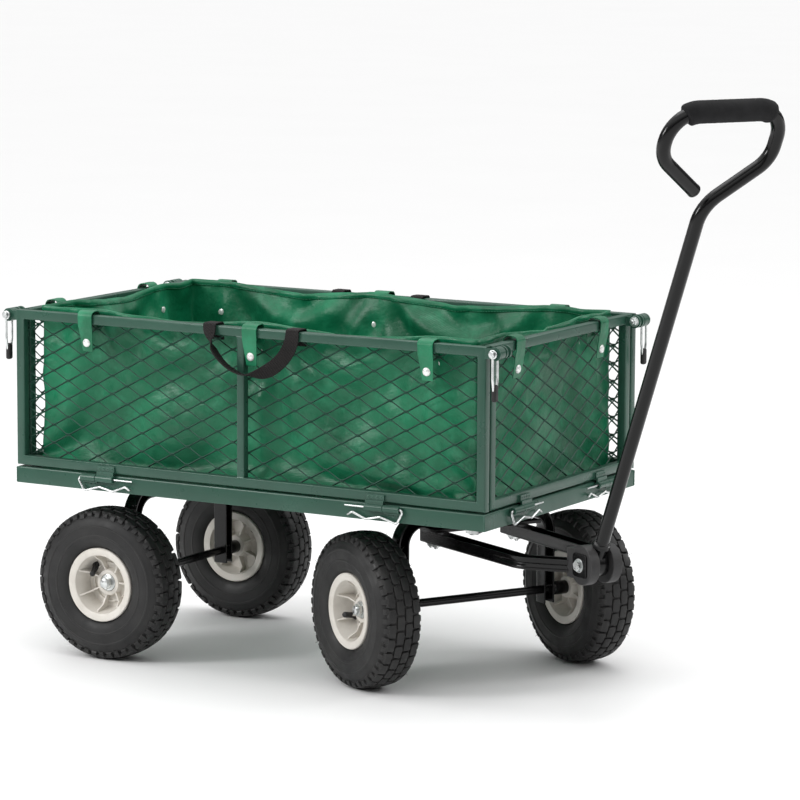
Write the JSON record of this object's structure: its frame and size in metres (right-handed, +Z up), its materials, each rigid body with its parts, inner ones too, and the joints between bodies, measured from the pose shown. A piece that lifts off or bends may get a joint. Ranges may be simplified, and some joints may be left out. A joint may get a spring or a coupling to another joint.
{
  "type": "garden cart",
  "caption": "Four-wheeled steel garden cart with fold-down mesh sides, a lift-out fabric liner, a steered front axle and a hinged pull handle.",
  "frame": {"origin": "on the ground, at the bottom centre of the bounding box", "axes": "+X forward along the tray towards the handle end, +Y to the cart's left, +Z up"},
  "size_m": [1.442, 0.707, 1.0049],
  "materials": {
    "green_paint": "satin powder coat",
    "black_paint": "semi-gloss",
    "zinc": "bright zinc plate",
    "tyre_rubber": "matt",
    "cream_plastic": "satin",
    "foam": "matt foam",
    "tarpaulin": "coated, slight sheen",
    "webbing": "woven"
  },
  "bodies": {
    "cart": {"tray_rim": "green_paint", "tray_floor": "green_paint", "crossbar_rear": "green_paint", "crossbar_front": "green_paint", "rear_arch": "black_paint", "rear_axle_rod": "black_paint", "axle_nut_rear_right": "zinc", "axle_nut_rear_left": "zinc", "kingpin": "zinc"},
    "front_axle": {"front_arch": "black_paint", "front_axle_rod": "black_paint", "axle_nut_front_right": "zinc", "axle_nut_front_left": "zinc", "drawbar_right": "black_paint", "drawbar_left": "black_paint", "yoke": "black_paint", "handle_bolt": "zinc"},
    "pull_handle": {"handle": "black_paint", "handle_grip": "foam"},
    "wheel_rear_right": {"tyre_rear_right": "tyre_rubber", "rim_rear_right": "cream_plastic"},
    "wheel_rear_left": {"tyre_rear_left": "tyre_rubber", "rim_rear_left": "cream_plastic"},
    "wheel_front_right": {"tyre_front_right": "tyre_rubber", "rim_front_right": "cream_plastic"},
    "wheel_front_left": {"tyre_front_left": "tyre_rubber", "rim_front_left": "cream_plastic"},
    "fold_right": {"panel_right": "green_paint", "mesh_right": "green_paint", "strap_right_1": "tarpaulin", "strap_right_2": "tarpaulin", "strap_right_3": "tarpaulin", "carry_handle_right": "webbing"},
    "pin_right_1": {"clip_right_1": "zinc"},
    "pin_right_2": {"clip_right_2": "zinc"},
    "fold_left": {"panel_left": "green_paint", "mesh_left": "green_paint", "strap_left_1": "tarpaulin", "strap_left_2": "tarpaulin", "strap_left_3": "tarpaulin", "carry_handle_left": "webbing"},
    "pin_left_1": {"clip_left_1": "zinc"},
    "pin_left_2": {"clip_left_2": "zinc"},
    "fold_front": {"panel_front": "green_paint", "mesh_front": "green_paint", "strap_front_1": "tarpaulin", "strap_front_2": "tarpaulin"},
    "pin_front_1": {"clip_front_1": "zinc"},
    "pin_front_2": {"clip_front_2": "zinc"},
    "fold_rear": {"panel_rear": "green_paint", "mesh_rear": "green_paint", "strap_rear_1": "tarpaulin", "strap_rear_2": "tarpaulin"},
    "pin_rear_1": {"clip_rear_1": "zinc"},
    "pin_rear_2": {"clip_rear_2": "zinc"},
    "bail_front_right": {"latch_front_right": "zinc"},
    "bail_rear_right": {"latch_rear_right": "zinc"},
    "bail_front_left": {"latch_front_left": "zinc"},
    "bail_rear_left": {"latch_rear_left": "zinc"},
    "liner_bag": {"liner": "tarpaulin"}
  },
  "joints": [
    {"name": "wheel_rear_right_spin", "type": "hinge", "parent": "cart", "child": "wheel_rear_right", "pos_m": [-0.53951, -0.13038, 0.13], "axis": [0, 1, 0], "continuous": true},
    {"name": "wheel_rear_left_spin", "type": "hinge", "parent": "cart", "child": "wheel_rear_left", "pos_m": [-0.53951, 0.28862, 0.13], "axis": [0, 1, 0], "continuous": true},
    {"name": "wheel_front_right_spin", "type": "hinge", "parent": "front_axle", "child": "wheel_front_right", "pos_m": [-0.0506, -0.10438, 0.13], "axis": [0.4825, 0.8759, 0], "continuous": true},
    {"name": "wheel_front_left_spin", "type": "hinge", "parent": "front_axle", "child": "wheel_front_left", "pos_m": [0.15158, 0.26261, 0.13], "axis": [0.4825, 0.8759, 0], "continuous": true},
    {"name": "steer", "type": "hinge", "parent": "cart", "child": "front_axle", "pos_m": [0.05049, 0.07912, 0.28], "axis": [0, 0, 1], "range_deg": [-16, 73]},
    {"name": "handle_tilt", "type": "hinge", "parent": "front_axle", "child": "pull_handle", "pos_m": [0.37107, -0.09749, 0.247], "axis": [0.4825, 0.8759, 0], "range_deg": [-35, 75]},
    {"name": "panel_right_fold", "type": "hinge", "parent": "cart", "child": "fold_right", "pos_m": [-0.23951, -0.18928, 0.318], "axis": [1, 0, 0], "range_deg": [0, 165]},
    {"name": "clip_right_1_pull", "type": "slide", "parent": "cart", "child": "pin_right_1", "axis": [-1, 0, 0], "range_m": [0, 0.08]},
    {"name": "clip_right_2_pull", "type": "slide", "parent": "cart", "child": "pin_right_2", "axis": [1, 0, 0], "range_m": [0, 0.08]},
    {"name": "panel_left_fold", "type": "hinge", "parent": "cart", "child": "fold_left", "pos_m": [-0.23951, 0.34752, 0.318], "axis": [-1, 0, 0], "range_deg": [0, 165]},
    {"name": "clip_left_1_pull", "type": "slide", "parent": "cart", "child": "pin_left_1", "axis": [-1, 0, 0], "range_m": [0, 0.08]},
    {"name": "clip_left_2_pull", "type": "slide", "parent": "cart", "child": "pin_left_2", "axis": [1, 0, 0], "range_m": [0, 0.08]},
    {"name": "panel_front_fold", "type": "hinge", "parent": "cart", "child": "fold_front", "pos_m": [0.22189, 0.07912, 0.318], "axis": [0, 1, 0], "range_deg": [0, 50]},
    {"name": "clip_front_1_pull", "type": "slide", "parent": "cart", "child": "pin_front_1", "axis": [0, -1, 0], "range_m": [0, 0.08]},
    {"name": "clip_front_2_pull", "type": "slide", "parent": "cart", "child": "pin_front_2", "axis": [0, 1, 0], "range_m": [0, 0.08]},
    {"name": "panel_rear_fold", "type": "hinge", "parent": "cart", "child": "fold_rear", "pos_m": [-0.70091, 0.07912, 0.318], "axis": [0, -1, 0], "range_deg": [0, 165]},
    {"name": "clip_rear_1_pull", "type": "slide", "parent": "cart", "child": "pin_rear_1", "axis": [0, 1, 0], "range_m": [0, 0.08]},
    {"name": "clip_rear_2_pull", "type": "slide", "parent": "cart", "child": "pin_rear_2", "axis": [0, -1, 0], "range_m": [0, 0.08]},
    {"name": "latch_front_right_swing", "type": "hinge", "parent": "fold_right", "child": "bail_front_right", "pos_m": [0.23099, -0.18088, 0.582], "axis": [0, -1, 0], "range_deg": [-5, 150]},
    {"name": "latch_rear_right_swing", "type": "hinge", "parent": "fold_right", "child": "bail_rear_right", "pos_m": [-0.71001, -0.18088, 0.582], "axis": [0, 1, 0], "range_deg": [-5, 150]},
    {"name": "latch_front_left_swing", "type": "hinge", "parent": "fold_left", "child": "bail_front_left", "pos_m": [0.23099, 0.33912, 0.582], "axis": [0, -1, 0], "range_deg": [-5, 150]},
    {"name": "latch_rear_left_swing", "type": "hinge", "parent": "fold_left", "child": "bail_rear_left", "pos_m": [-0.71001, 0.33912, 0.582], "axis": [0, 1, 0], "range_deg": [-5, 150]},
    {"name": "liner_lift", "type": "slide", "parent": "cart", "child": "liner_bag", "axis": [0, 0, 1], "range_m": [0, 0.3]}
  ]
}
